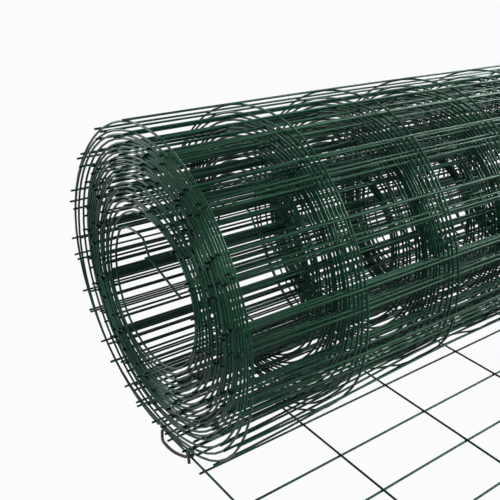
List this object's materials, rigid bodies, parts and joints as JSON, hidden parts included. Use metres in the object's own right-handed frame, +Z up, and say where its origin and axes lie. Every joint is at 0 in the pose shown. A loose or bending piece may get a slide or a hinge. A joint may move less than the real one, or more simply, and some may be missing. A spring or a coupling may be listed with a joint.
{
  "type": "roll of wire fencing",
  "caption": "Roll of coated welded wire mesh lying on its side, its outer end rolled out flat on the floor, with an open bore and a small tie wire.",
  "frame": {"origin": "on the floor, at the middle of the outline seen from above", "axes": "+X along the roll's axis from the tied front edge to the back edge, -Y towards the loose end on the floor, +Z up"},
  "size_m": [1.015, 0.608, 0.2662],
  "materials": {
    "green_coat": "semi-gloss plastic-coated steel wire",
    "black_coat": "matt black coated tie wire"
  },
  "bodies": {
    "root": {"wound_turns": "green_coat", "loose_end": "green_coat", "inner_end": "green_coat", "tie_wire": "black_coat"}
  },
  "joints": []
}
